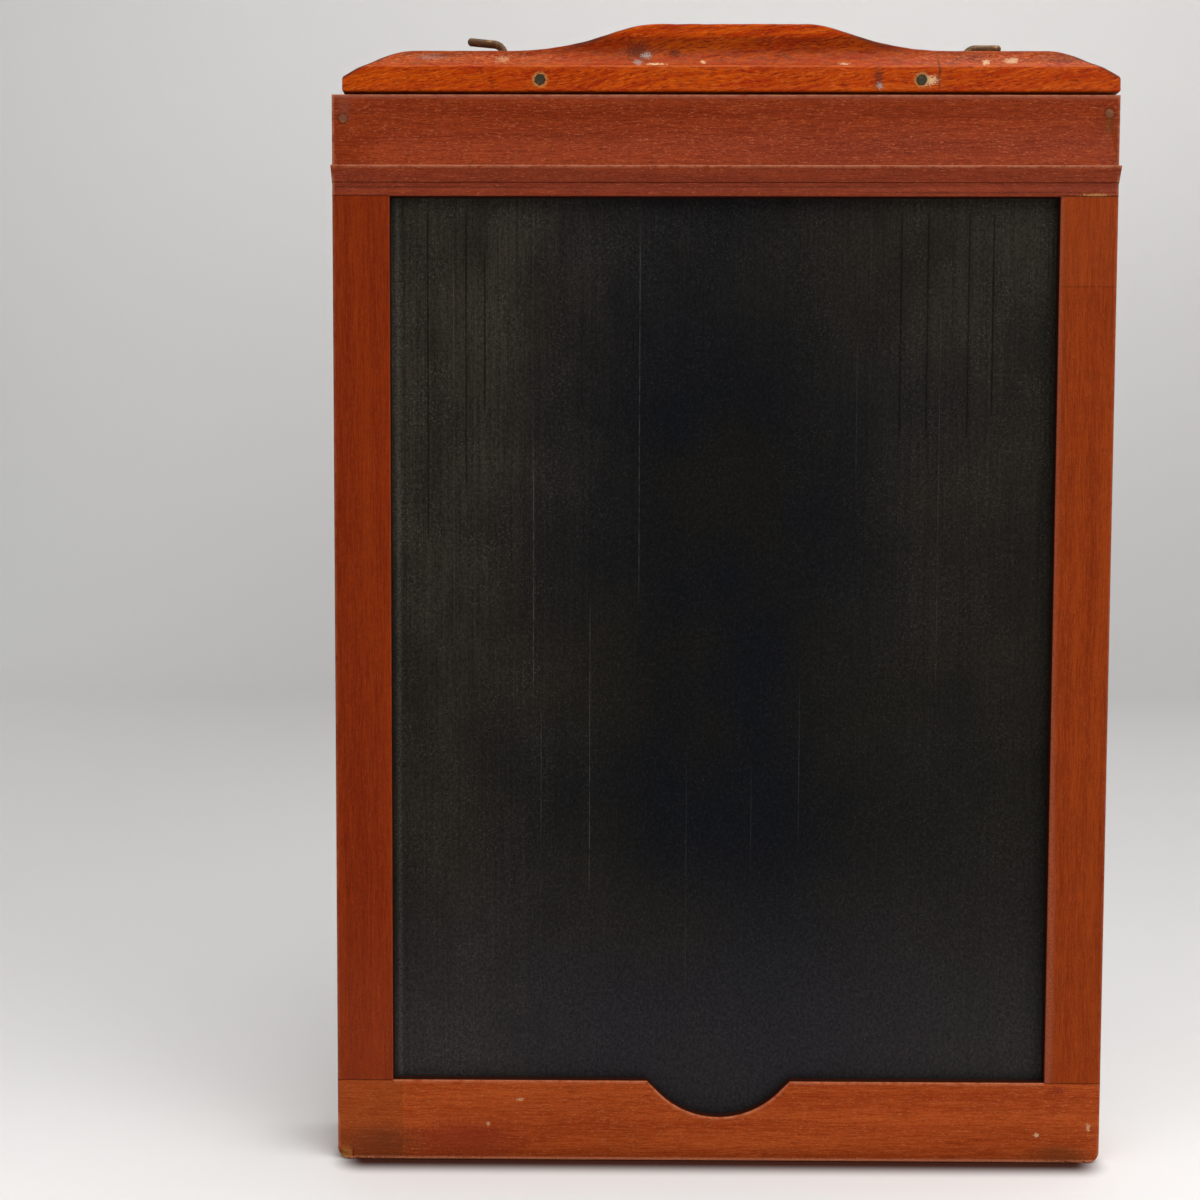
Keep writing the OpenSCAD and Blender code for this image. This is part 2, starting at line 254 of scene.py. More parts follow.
def rounded(node, width_at, cuts):
    """A copy of a CAD node with rounded arrises, which stands for the node."""
    source = frame["nodes"][node]
    bm = bmesh.new()
    bm.from_mesh(source.data)
    bmesh.ops.remove_doubles(bm, verts=bm.verts, dist=WELD)
    flat = math.radians(FLAT_ANGLE)
    bmesh.ops.dissolve_limit(bm, angle_limit=flat, verts=bm.verts, edges=bm.edges)
    for axis, value in cuts:
        point, normal = Vector(), Vector()
        point[axis], normal[axis] = value * MM, 1
        everything = bm.verts[:] + bm.edges[:] + bm.faces[:]
        bmesh.ops.bisect_plane(bm, geom=everything, plane_co=point, plane_no=normal, dist=WELD)
    weight = bm.edges.layers.float.new("bevel_weight_edge")
    sharp = math.radians(ARRIS_ANGLE)
    for edge in bm.edges:
        if edge.is_manifold and edge.calc_face_angle() > sharp and edge.is_convex:
            middle = (edge.verts[0].co + edge.verts[1].co) / 2 / MM
            edge[weight] = width_at(middle) / FOOT_R
    obj = mesh_object("worn_" + node, bm)
    smooth_shade(obj.data, SHARP_ANGLE)
    bevel = obj.modifiers.new("arris", "BEVEL")
    bevel.width = FOOT_R * MM
    bevel.segments = 4
    bevel.limit_method = "WEIGHT"
    bevel.use_clamp_overlap = False
    bevel.harden_normals = True
    bake(obj)
    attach(obj, source["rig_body"])
    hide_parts(node)
    return obj


# ---------------------------------------------------------------- slide handles

HANDLE_X = (handle_low.x + handle_high.x) / 2
HANDLE_HALF = (handle_high.x - handle_low.x) / 2
HANDLE_H = handle_high.z - handle_low.z
INNER_Y = -handle_high.y
SHOULDER_H = 8.4            # heights above the handle's underside
END_H = 2.7
BAND_H = 4.7
CROWN_X = 14.0              # half the length of the crown's flat top
CROWN_R = 20.0              # it turns down through this radius,
SWEEP_R = 66.0              # and out to the shoulder through this one,
SWEEP = math.radians(17)    # with a straight slope between them
END_R = 14.0                # the shoulder turns down to the handle's ends
END_ANGLE = math.radians(30)
END_TURN = END_R * math.sin(END_ANGLE)
END_DROP = SHOULDER_H - END_H - END_R * (1 - math.cos(END_ANGLE))
END_RUN = END_TURN + END_DROP / math.tan(END_ANGLE)
CROWN_HIGH = HANDLE_H + CROWN_R * (1 / math.cos(SWEEP) - 1)   # the straight slope, at CROWN_X
SCOOP_R = 4.6               # the finger groove above the flat band
SCOOP_DEPTH = 2.0
SCOOP_Z = BAND_H + math.sqrt(SCOOP_R ** 2 - (SCOOP_R - SCOOP_DEPTH) ** 2)
LAND_SET = 1.4              # how far the crown's front lies behind the band


def shoulder_x():
    """Where the long hollow below the handle's crown meets the shoulder."""
    turned_down = (CROWN_R + SWEEP_R) * (1 - math.cos(SWEEP))
    straight = (HANDLE_H - SHOULDER_H - turned_down) / math.tan(SWEEP)
    return CROWN_X + (CROWN_R + SWEEP_R) * math.sin(SWEEP) + straight


def handle_top(x):
    """Height of the handle above its underside, at a distance from its middle."""
    x = abs(x)
    crown_end = CROWN_X + CROWN_R * math.sin(SWEEP)
    hollow_end = shoulder_x()
    hollow_start = hollow_end - SWEEP_R * math.sin(SWEEP)
    if x <= CROWN_X:
        return HANDLE_H
    if x <= crown_end:
        return HANDLE_H - CROWN_R + math.sqrt(CROWN_R ** 2 - (x - CROWN_X) ** 2)
    if x <= hollow_start:
        crown_low = HANDLE_H - CROWN_R * (1 - math.cos(SWEEP))
        return crown_low - (x - crown_end) * math.tan(SWEEP)
    if x <= hollow_end:
        return SHOULDER_H + SWEEP_R - math.sqrt(SWEEP_R ** 2 - (hollow_end - x) ** 2)
    if x <= HANDLE_HALF - END_RUN:
        return SHOULDER_H
    run = min(x, HANDLE_HALF) - HANDLE_HALF + END_RUN
    if run <= END_TURN:
        return SHOULDER_H - END_R + math.sqrt(END_R ** 2 - run ** 2)
    return END_H + (END_RUN - run) * math.tan(END_ANGLE)


def soft_max(a, b, softness):
    return (a + b + math.sqrt((a - b) ** 2 + softness ** 2)) / 2


def front_depth(z, wear):
    """How far the handle's front lies behind its flat band, at a height above its underside."""
    groove = math.sqrt(max(0, SCOOP_R ** 2 - (z - SCOOP_Z) ** 2)) - (SCOOP_R - SCOOP_DEPTH)
    start = min(1, max(0, (z - SCOOP_Z) / 1.5))
    land = LAND_SET * start * start * (3 - 2 * start)
    return soft_max(soft_max(0, groove, wear), land, 0.2)


def curve_through(start, corner, end, steps):
    """Points of a rounded corner after its start, up to its end."""
    points = []
    for i in range(1, steps + 1):
        t = i / steps
        points.append(start * (1 - t) ** 2 + corner * 2 * t * (1 - t) + end * t * t)
    return points


def handle_rows():
    """Heights of the rows of points up the handle's front, closest round its two creases."""
    rows, z = [], 0.6
    land_z = SCOOP_Z + math.sqrt(SCOOP_R ** 2 - (SCOOP_R - SCOOP_DEPTH + LAND_SET) ** 2)
    while z < HANDLE_H:
        rows.append(z)
        nearest = min(abs(z - BAND_H), abs(z - land_z))
        z += min(0.55, 0.12 + 0.35 * nearest)
    return rows


def handle_section(x, rows, seed):
    """One closed loop of points round the handle, seen along X, as (y, z)."""
    height = handle_top(x)
    # The radii of the arrises and the softness of the crease wander along the handle.
    top_r = 0.45 + 0.22 * noise.noise(Vector((x * 0.35, seed, 0)))
    low_r = 0.35 + 0.1 * noise.noise(Vector((x * 0.3, seed, 9)))
    wear = 0.3 + 0.35 * max(0, noise.noise(Vector((x * 0.22, seed, 5))))
    def front(z):
        return Vector((-FACE_Y + front_depth(z, wear), z))
    points = [front(max(low_r, min(z, height - top_r))) for z in rows]
    corner = front(height)
    points += curve_through(front(height - top_r), corner, corner + Vector((top_r, 0)), 5)
    back_top = Vector((-INNER_Y, height))
    points += [(points[-1] + back_top) / 2, back_top - Vector((low_r, 0))]
    points += curve_through(points[-1], back_top, back_top - Vector((0, low_r)), 3)
    back_low = Vector((-INNER_Y, 0))
    points += [(points[-1] + back_low) / 2, back_low + Vector((0, low_r))]
    points += curve_through(points[-1], back_low, back_low - Vector((low_r, 0)), 3)
    front_low = Vector((-FACE_Y, 0))
    points += [(points[-1] + front_low) / 2, front_low + Vector((low_r, 0))]
    points += curve_through(points[-1], front_low, front_low + Vector((0, low_r)), 3)
    return points


def handle_stations():
    """Places along the handle, with how far the section shrinks at its rounded ends."""
    end_r = 0.35
    count = 220
    steps = 4
    straight = HANDLE_HALF - end_r
    inner = [(-straight + 2 * straight * i / count, 0) for i in range(count + 1)]
    ends = []
    for i in range(1, steps + 1):
        angle = math.pi / 2 * i / steps
        ends.append((straight + end_r * math.sin(angle), end_r * (1 - math.cos(angle))))
    return [(-x, inset) for x, inset in reversed(ends)] + inner + ends


def worn_handle(side, rear, seed):
    """The varnished handle of a dark slide: crown, finger groove, flat band, worn arrises."""
    rows = handle_rows()
    bm = bmesh.new()
    loops = []
    for x, inset in handle_stations():
        section = handle_section(x, rows, seed)
        middle = Vector((-(FACE_Y + INNER_Y) / 2, handle_top(x) / 2))
        loop = []
        for point in section:
            out = point - middle
            shrunk = Vector(c - math.copysign(min(inset, abs(c)), c) for c in out)
            y, z = middle + shrunk
            place = turned((HANDLE_X + x, y, handle_low.z + z), rear)
            loop.append(bm.verts.new(Vector(place) * MM))
        loops.append(loop)
    for near, far in zip(loops, loops[1:]):
        for i in range(len(near)):
            j = (i + 1) % len(near)
            bm.faces.new((near[i], near[j], far[j], far[i]))
    bm.faces.new(list(reversed(loops[0])))
    bm.faces.new(loops[-1])
    bmesh.ops.remove_doubles(bm, verts=bm.verts, dist=2 * WELD)
    bmesh.ops.dissolve_degenerate(bm, edges=bm.edges, dist=WELD)
    bmesh.ops.recalc_face_normals(bm, faces=bm.faces)
    obj = mesh_object(f"worn_{side}_slide_handle", bm)
    node = f"{side}_slide_handle"
    slot_low, slot_high = box_mm(f"{side}_slide_sheet")
    cutters = [block((slot_low.x, slot_low.y, handle_low.z - 1), slot_high)]
    for x in PIN_X:
        hole_x, face, z = turned((x, -FACE_Y, PIN_Z), rear)
        out = math.copysign(1, face)
        reach = sorted((face + out, out * PIN_HOLE_Y))
        cutters.append(drill(hole_x, z, *reach, PIN_R + PIN_HOLE_GAP))
    cut_away(obj, cutters)
    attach(obj, f"{side}_slide")
    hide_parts(node)
    return obj


# ---------------------------------------------------------------- shader building

def linear(value):
    value /= 255
    return value / 12.92 if value <= 0.04045 else ((value + 0.055) / 1.055) ** 2.4


def tone(red, green, blue):
    """A colour given as screen values from 0 to 255."""
    return (linear(red), linear(green), linear(blue))


class Field:
    """A number that varies over a surface; arithmetic on it adds nodes to its tree."""

    def __init__(self, tree, socket):
        self.tree, self.socket = tree, socket

    def math(self, operation, *others):
        node = self.tree.nodes.new("ShaderNodeMath")
        node.operation = operation
        for socket, value in zip(node.inputs, (self, *others)):
            self.tree.feed(socket, value)
        return Field(self.tree, node.outputs[0])

    def __add__(self, other):
        return self.math("ADD", other)

    def __sub__(self, other):
        return self.math("SUBTRACT", other)

    def __rsub__(self, other):
        return (self * -1) + other

    def __mul__(self, other):
        return self.math("MULTIPLY", other)

    __radd__ = __add__
    __rmul__ = __mul__

    def abs(self):
        return self.math("ABSOLUTE")

    def least(self, other):
        return self.math("MINIMUM", other)

    def most(self, other):
        return self.math("MAXIMUM", other)

    def power(self, exponent):
        return self.math("POWER", exponent)

    def rise(self, low, high):
        """0 below low, 1 above high, smooth between; it falls where high is below low."""
        inputs = {"Value": self, "From Min": min(low, high), "From Max": max(low, high)}
        node = self.tree.add("ShaderNodeMapRange", inputs, interpolation_type="SMOOTHSTEP")
        result = Field(self.tree, node.outputs[0])
        return 1 - result if high < low else result

    def near(self, value, reach):
        """1 where the field equals value, falling to 0 at the given reach."""
        return (self - value).abs().rise(reach, 0)


class Tree:
    """Builds one material's node tree. Its noises are in object space, in millimetres."""

    def __init__(self, name):
        self.material = bpy.data.materials.new(name)
        self.material.use_nodes = True
        self.nodes = self.material.node_tree.nodes
        self.links = self.material.node_tree.links
        self.nodes.clear()
        coordinates = self.nodes.new("ShaderNodeTexCoord")
        self.coordinates = coordinates.outputs["Object"]
        split = self.nodes.new("ShaderNodeSeparateXYZ")
        self.links.new(self.coordinates, split.inputs[0])
        self.x, self.y, self.z = (Field(self, s) * (1 / MM) for s in split.outputs)
        self.ragged = None

    def feed(self, socket, value):
        """Gives a socket a field, another socket, a colour or a number."""
        if isinstance(value, Field):
            value = value.socket
        if isinstance(value, bpy.types.NodeSocket):
            self.links.new(value, socket)
        elif socket.type == "RGBA":
            socket.default_value = (*value[:3], 1)
        else:
            socket.default_value = value

    def add(self, kind, inputs, **settings):
        node = self.nodes.new(kind)
        for name, value in settings.items():
            setattr(node, name, value)
        for name, value in inputs.items():
            self.feed(node.inputs[name], value)
        return node

    def vector(self, x, y, z):
        return self.add("ShaderNodeCombineXYZ", {"X": x, "Y": y, "Z": z}).outputs[0]

    def noise(self, x, y, z, detail=2.0, roughness=0.5, distortion=0.0):
        """Noise from 0 to 1 at a place that is already scaled to one blob a unit."""
        inputs = {
            "Vector": self.vector(x, y, z), "Scale": 1.0, "Detail": detail,
            "Roughness": roughness, "Distortion": distortion,
        }
        return Field(self, self.add("ShaderNodeTexNoise", inputs).outputs[0])

    def cells(self, x, y, z):
        """Distance from the nearest of many scattered points, at a scaled place."""
        inputs = {"Vector": self.vector(x, y, z), "Scale": 1.0}
        return Field(self, self.add("ShaderNodeTexVoronoi", inputs).outputs["Distance"])

    def mix(self, factor, first, second, blend="MIX"):
        node = self.add("ShaderNodeMix", {}, data_type="RGBA", blend_type=blend)
        node.clamp_factor = True
        for index, value in ((0, factor), (6, first), (7, second)):
            self.feed(node.inputs[index], value)
        return node.outputs[2]

    def shade(self, colour, amount):
        """Multiplies a colour by a field."""
        grey = self.vector(amount, amount, amount)
        return self.mix(1.0, colour, grey, "MULTIPLY")

    def torn(self):
        """A small ragged noise from -0.5 to 0.5, shared by all the spots of a material."""
        if self.ragged is None:
            fine = self.noise(self.x * 2.2, self.y, self.z * 2.6, detail=4, roughness=0.85)
            self.ragged = fine.rise(0.32, 0.68) - 0.5
        return self.ragged

    def openness(self, reach):
        """1 on open surfaces, lower in corners and gaps within reach."""
        inputs = {"Distance": reach * MM}
        node = self.add("ShaderNodeAmbientOcclusion", inputs, samples=6)
        return Field(self, node.outputs["AO"])

    def finish(self, colour, roughness, height=None, depth=0.05, more=None):
        """Ends the tree in one principled surface; depth is the bump's height, and more
        holds further inputs by their names."""
        inputs = {"Base Color": colour, "Roughness": roughness}
        if height is not None:
            bump = {"Height": height, "Distance": depth * MM, "Strength": 1.0}
            inputs["Normal"] = self.add("ShaderNodeBump", bump).outputs[0]
        inputs.update(more or {})
        surface = self.add("ShaderNodeBsdfPrincipled", inputs)
        output = self.add("ShaderNodeOutputMaterial", {})
        self.links.new(surface.outputs[0], output.inputs["Surface"])
        return self.material


def wood_tree(name, grain, slope=0.0, waves=0.0):
    """A tree with the grain's own axes: t.along runs with the fibres, t.across over them."""
    t = Tree(name)
    along, across = (t.x, t.z) if grain == "x" else (t.z, t.x)
    wave = t.noise(along * 0.05, across * 0.03, t.y * 0.2) - 0.5
    t.along = along
    t.across = across - along * slope + wave * waves
    return t


def stretched(t, along, across, **settings):
    return t.noise(t.along * along, t.across * across, t.y * across, **settings)


def edge_distance(t, heights):
    """Distance from the nearest outer arris: up the frame's sides, or across at the heights."""
    dy = (t.y.abs() - FACE_Y).abs()
    dx = (t.x.abs() - HALF_W).abs()
    if not heights:
        return dx.most(dy)
    dz = (t.z - heights[0]).abs()
    for height in heights[1:]:
        dz = dz.least((t.z - height).abs())
    return dx.least(dy).most(dx.most(dy).least(dz))


# ---------------------------------------------------------------- materials

def frame_wood(name, grain, tones, edges, dashes, extra=None):
    """Old stained wood: fine grain, pores, blotches, worn arrises, dark joints, painted shade in
    corners and gaps, and near-black inner faces. tones are dark, light, dash and worn, dashes
    is the strength of the short dark and light grain lines, and extra adds marks to (tree, colour)."""
    dark, light, dash, worn = tones
    t = wood_tree(name, grain, waves=1.5)
    streaks = stretched(t, 0.012, 0.35, detail=3)
    fibres = stretched(t, 0.16, 3.4, detail=4, roughness=0.7)
    pores = stretched(t, 0.9, 4.6, detail=3, roughness=0.7).rise(0.54, 0.66)
    lights = stretched(t, 1.1, 4.8, detail=3, roughness=0.8, distortion=0.3).rise(0.55, 0.68)
    flecks = t.noise(t.x * 3.0, t.y, t.z * 3.0, detail=3, roughness=0.8).rise(0.32, 0.68)
    blotch = t.noise(t.x * 0.035, t.y * 0.05, t.z * 0.035, detail=3)
    mottle = t.noise(t.x * 0.4, t.y, t.z * 0.4, detail=4, roughness=0.6)
    figure = (streaks * 0.35 + fibres * 0.65).rise(0.34, 0.66)
    colour = t.mix(figure, dark, light)
    colour = t.mix(pores * (0.3 * dashes), colour, tuple(c * 0.35 for c in dark))
    colour = t.mix(lights * (0.45 * dashes), colour, dash)
    colour = t.shade(colour, blotch * 0.3 + mottle * 0.3 + flecks * 0.2 + 0.6)
    if extra:
        colour = extra(t, colour)
    distance = edges(t)
    ragged = t.noise(t.x * 0.5, t.y * 0.5, t.z * 0.5, detail=4, roughness=0.7)
    rubbed = distance.rise(0.75, 0.1) * ragged.rise(0.3, 0.6)
    colour = t.mix(rubbed * 0.6, colour, worn)
    side = t.x.abs()
    joint = (t.z - OPEN_LOW).abs().least((t.z - OPEN_HIGH).abs()).rise(0.2, 0.04)
    joint = joint * side.rise(OPEN_X, OPEN_X + 0.3)
    # Painted shade: darker where other surfaces are near, in corners and gaps, but not at the foot.
    corner_shade = t.openness(1.6).rise(0.75, 0.2) * t.z.rise(1, 3)
    colour = t.shade(colour, 1 - (corner_shade * 0.55).most(joint * 0.45))
    # The faces inside the frame, off its front and outer sides, are coloured near-black.
    inside = (t.y.abs() - FACE_Y).rise(-0.12, -0.35) * side.rise(HALF_W - 0.6, HALF_W - 1.2)
    near_black_inside = inside * t.z.rise(1.5, 3) * t.z.rise(FRAME_H - 1, FRAME_H - 2)
    colour = t.mix(near_black_inside * 0.94, colour, tone(26, 13, 10))
    scuffs = t.noise(t.x * 0.25, t.y * 0.25, t.z * 0.25, detail=5, roughness=0.75)
    roughness = scuffs * 0.3 + 0.4 + rubbed * 0.15
    height = fibres * 0.5 - pores * 0.6 + scuffs * 0.4
    return t.finish(colour, roughness, height, depth=0.035, more={"Specular IOR Level": 0.05})


def stile_edges(t):
    """Distance from a stile's arrises; the one along the opening counts as farther off."""
    inner = (t.x.abs() - OPEN_X).abs().most((t.y.abs() - FACE_Y).abs()) + 0.4
    return edge_distance(t, []).least(inner)


def top_edges(t):
    """Distance from a top cheek's arrises and from the rib's crest."""
    crest = (t.z - RIB_CREST).abs().most((t.y.abs() - RIB_Y).abs())
    return edge_distance(t, [FRAME_H]).least(crest)


def bottom_edges(t):
    """Distance from a bottom cheek's arrises, with the finger notch's rim and without the
    joints below the stiles."""
    rise = t.z - (NOTCH_LOW + NOTCH_R)
    radius = (t.x * t.x + rise * rise).power(0.5)
    notch = (radius - NOTCH_R).abs().most((t.y.abs() - FACE_Y).abs())
    lip = edge_distance(t, [0, OPEN_LOW])
    return (lip + t.x.abs().rise(OPEN_X - 0.3, OPEN_X + 0.3) * t.z.rise(8, 12)).least(notch)


def core_edges(t):
    """Distance from the arrises of a rail's core, at the frame's foot or top."""
    return edge_distance(t, [0, FRAME_H])


def distance_to(t, x, z, reach_x=1.0, reach_z=1.0):
    """Distance from a point of the front, in units of the given reaches."""
    dx = (t.x - x) * (1 / reach_x)
    dz = (t.z - z) * (1 / reach_z)
    return (dx * dx + dz * dz).power(0.5)


def mark(t, x, z, reach_x, reach_z):
    """A ragged spot on the front, 1 at its middle."""
    radius = distance_to(t, x, z, reach_x, reach_z) + t.torn() * 1.2
    return radius.rise(1.1, 0.5) * t.y.rise(0, -1)


def stain(t, colour, spots):
    """Paints spots on the front: middle, half size, colour and strength of each."""
    for (x, z), (reach_x, reach_z), paint, strength in spots:
        colour = t.mix(mark(t, x, z, reach_x, reach_z) * strength, colour, paint)
    return colour


def sloping_arrises(t, height):
    """Where grime sits: along the front arris, on the slopes of the handle's crown and ends."""
    side = (t.x - HANDLE_X).abs()
    slope_start = HANDLE_HALF - END_RUN
    below_end = (HANDLE_HALF - side) * math.tan(END_ANGLE) + END_H - height
    end_slope = below_end.rise(0.8, 0.45) * side.rise(slope_start, slope_start + 2)
    below_crown = (CROWN_X - side) * math.tan(SWEEP) + CROWN_HIGH - height
    crown_slope = below_crown.rise(0.8, 0.4) * side.near(CROWN_X + 12, 9)
    land_y = FACE_Y - LAND_SET
    arris = t.y.abs().rise(land_y - 1.3, land_y - 0.7)
    return end_slope.most(crown_slope) * arris * (t.torn() * 0.6 + 0.8)


def pin_rings(t, colour):
    """Bared wood round the front handle's two pins, with painted shade in the gap against each pin.
    """
    for x in PIN_X:
        radius = distance_to(t, x, PIN_Z) + t.torn() * 0.7
        ring = radius.near(PIN_R + 0.3, 0.38) * (t.torn() + 0.9) * t.y.rise(0, -1)
        colour = t.mix(ring * 0.75, colour, tone(196, 146, 84))
        # Painted shade in the gap against the pin.
        colour = t.shade(colour, 1 - radius.rise(PIN_R + 0.2, PIN_R - 0.1) * 0.6)
    return colour


def handle_wood():
    """Orange-red varnished wood, with wavy grain, a worn crease, grime on its arrises, painted
    shade in its corners and on the groove's upper wall, and painted light on the land above the
    groove.
    """
    t = wood_tree("handle_wood_varnish", "x", slope=0.16, waves=5.0)
    height = t.z - handle_low.z
    front = t.y.abs().rise(INNER_Y, INNER_Y + 1)
    streaks = stretched(t, 0.05, 0.9, detail=4)
    dashes = stretched(t, 0.55, 3.8, detail=3, roughness=0.7, distortion=0.5).rise(0.5, 0.61)
    lights = stretched(t, 0.7, 3.6, detail=2, roughness=0.6, distortion=0.5).rise(0.52, 0.68)
    blotch = t.noise(t.x * 0.06, t.y * 0.1, t.z * 0.1, detail=4, roughness=0.6)
    colour = t.mix(streaks.rise(0.3, 0.7), tone(158, 42, 0), tone(186, 74, 2))
    colour = t.mix(dashes * 0.7, colour, tone(104, 18, 0))
    colour = t.mix(lights * 0.5, colour, tone(214, 104, 30))
    colour = t.shade(colour, blotch * 0.5 + 0.75)
    # Painted shade on the groove's upper wall, under the land, and painted light brightening the
    # land above it.
    painted_groove_shade = height.rise(6.8, 8.4) * height.rise(11.2, 10.2) * front
    colour = t.shade(colour, (1 - painted_groove_shade * 0.3) * (height.rise(10.2, 11) * front * 0.1 + 1))
    groove = height.rise(BAND_H + 0.1, BAND_H + 0.9) * height.rise(9.4, 7.2) * front
    ragged = t.noise(t.x * 0.45, t.y * 0.6, t.z * 0.9, detail=5, roughness=0.75)
    rubbed = groove * ragged.rise(0.38, 0.62)
    colour = t.mix(rubbed * 0.5, colour, tone(172, 84, 50))
    fine = t.noise(t.x * 1.0, t.y, t.z * 3.4, detail=5, roughness=0.85)
    grime = groove * t.noise(t.x * 0.3, t.y, t.z * 1.1, detail=5, roughness=0.8).rise(0.5, 0.66)
    colour = t.mix(grime * fine.rise(0.3, 0.5) * 0.65, colour, tone(92, 46, 34))
    shoulders = groove * (t.x - HANDLE_X).abs().rise(24, 44)
    colour = t.mix(shoulders * fine.rise(0.5, 0.6) * 0.5, colour, tone(222, 142, 92))
    colour = t.mix(shoulders * fine.rise(0.44, 0.36) * 0.65, colour, tone(108, 44, 26))
    crease = height.near(BAND_H + 0.05, 0.3) * ragged.rise(0.35, 0.55) * front
    colour = t.mix(crease * 0.5, colour, tone(206, 112, 52))
    colour = t.mix(sloping_arrises(t, height) * 0.75, colour, tone(84, 52, 40))
    # Painted shade: darker where other surfaces are near, in corners and gaps.
    corner_shade = t.openness(1.2).rise(0.7, 0.2)
    colour = t.shade(colour, 1 - corner_shade * 0.6)
    colour = stain(t, colour, HANDLE_SPOTS)
    colour = pin_rings(t, colour)
    roughness = ragged * 0.3 + 0.3 + rubbed * 0.15
    relief = dashes * -0.4 + ragged * 0.5 + streaks * 0.3
    varnish = {"Specular IOR Level": 0.05, "Coat Weight": 0.02, "Coat Roughness": 0.35}
    return t.finish(colour, roughness, relief, depth=0.05, more=varnish)


def streak(t, x, z_low, z_high, width, fade):
    """One thin straight line down the front, from z_high to z_low."""
    return t.x.near(x, width) * t.z.rise(z_low, z_low + fade) * t.z.rise(z_high, z_high - fade)


def slide_black():
    """Near-black slide: fine streaks up and down, long scratches, dust near its edges."""
    t = Tree("slide_black_rubbed")
    streaks = t.noise(t.x * 1.6, t.y, t.z * 0.012, detail=4, roughness=0.7)
    fine = t.noise(t.x * 6.0, t.y, t.z * 0.06, detail=3, roughness=0.7)
    cloud = t.noise(t.x * 0.03, t.y, t.z * 0.025, detail=3)
    grit = t.noise(t.x * 2.2, t.y, t.z * 2.2, detail=3, roughness=0.8)
    foot = t.z.rise(70, 14)
    high = t.z.rise(60, 150)
    left = t.x.rise(-8, -58) * (high * 0.5 + 0.5)
    right = t.x.rise(6, 52) * (high * 0.6 + 0.4)
    top = t.z.rise(140, 187)
    worn = (left + right * 0.5 + top * 0.25).least(1)
    lines = (streaks * 0.5 + fine * 0.5).rise(0.38, 0.62)
    rough = grit.rise(0.3, 0.7)
    patch = t.noise(t.x * 0.05, t.y, t.z * 0.035, detail=5, roughness=0.6).rise(0.38, 0.62)
    haze = worn * (patch * 0.7 + 0.65) * (lines * 0.8 + 0.6) * (rough * 0.6 + 0.7)
    middle = cloud.rise(0.35, 0.6) * t.x.abs().rise(64, 10)
    colour = t.mix(middle, tone(19, 17, 14), tone(11, 12, 17))
    colour = t.mix(haze * 0.2, colour, tone(84, 76, 64))
    colour = t.mix(foot * (rough * 0.15 + 0.22), colour, tone(62, 58, 62))
    dark_lines = fine.rise(0.42, 0.3) * worn
    colour = t.shade(colour, 1 - dark_lines * 0.4)
    grain = t.noise(t.x * 1.7, t.y, t.z * 1.3, detail=5, roughness=0.9)
    colour = t.shade(colour, grain.rise(0.32, 0.68) * 0.9 + 0.55)
    colour = t.mix(grain.rise(0.48, 0.72) * 0.07, colour, tone(96, 94, 90))
    left_rim = t.x.near(1.2 - OPEN_X, 0.8) * rough * t.y.rise(0, -1)
    colour = t.mix(left_rim * 0.22, colour, tone(126, 122, 110))
    specks = t.cells(t.x * 1.5, t.y, t.z * 1.5).rise(0.2, 0.05)
    patchy = t.noise(t.x * 0.09, t.y, t.z * 0.07, detail=4, roughness=0.7).rise(0.42, 0.6)
    dust = specks * (patchy * 0.6 + 0.1) * (worn * 0.7 + 0.2)
    scuffed = grit.rise(0.56, 0.7) * patchy * (worn * 0.4 + 0.05)
    colour = t.mix(dust.most(scuffed), colour, tone(112, 108, 98))
    front = t.y.rise(0, -1)
    gaps = t.noise(t.x * 0.2, t.y, t.z * 0.35, detail=3, roughness=0.8).rise(0.35, 0.6)
    broken = front * (gaps * 0.8 + 0.2)
    for x, z_low, z_high, strength in SCRATCHES:
        line = streak(t, x, z_low, z_high, 0.13, 9) * broken
        colour = t.mix(line * strength, colour, tone(112, 108, 94))
    for x, z_low, z_high in DARK_STREAKS:
        colour = t.shade(colour, 1 - streak(t, x, z_low, z_high, 0.3, 4) * front * 0.7)
    roughness = cloud * 0.2 + 0.42 - haze * 0.05
    relief = streaks * 0.4 + fine * 0.3 - specks * 0.2
    return t.finish(colour, roughness, relief, depth=0.02, more={"Specular IOR Level": 0.06})


def metal(name, bright, dull, roughness, tarnish):
    """Old metal with patches of tarnish and fine scratches."""
    t = Tree(name)
    patches = t.noise(t.x * 0.9, t.y * 0.9, t.z * 0.9, detail=5, roughness=0.65)
    scratches = t.noise(t.x * 9, t.y * 9, t.z * 1.5, detail=2)
    cover = patches.rise(0.62 - tarnish * 0.4, 0.75 - tarnish * 0.3)
    colour = t.mix(cover, bright, dull)
    relief = patches * 0.6 + scratches * 0.4
    shine = {"Metallic": 0.85 - cover * 0.5}
    return t.finish(colour, cover * 0.25 + roughness, relief, depth=0.03, more=shine)


def septum_black():
    """Blackened sheet metal, brushed and slightly mottled."""
    t = Tree("septum_black_sheet")
    mottle = t.noise(t.x * 0.15, t.y, t.z * 0.15, detail=5, roughness=0.7)
    brushed = t.noise(t.x * 5, t.y, t.z * 0.1, detail=2)
    colour = t.mix(mottle.rise(0.4, 0.7), tone(30, 30, 32), tone(52, 50, 48))
    return t.finish(colour, brushed * 0.2 + 0.4, brushed, depth=0.01, more={"Metallic": 0.4})


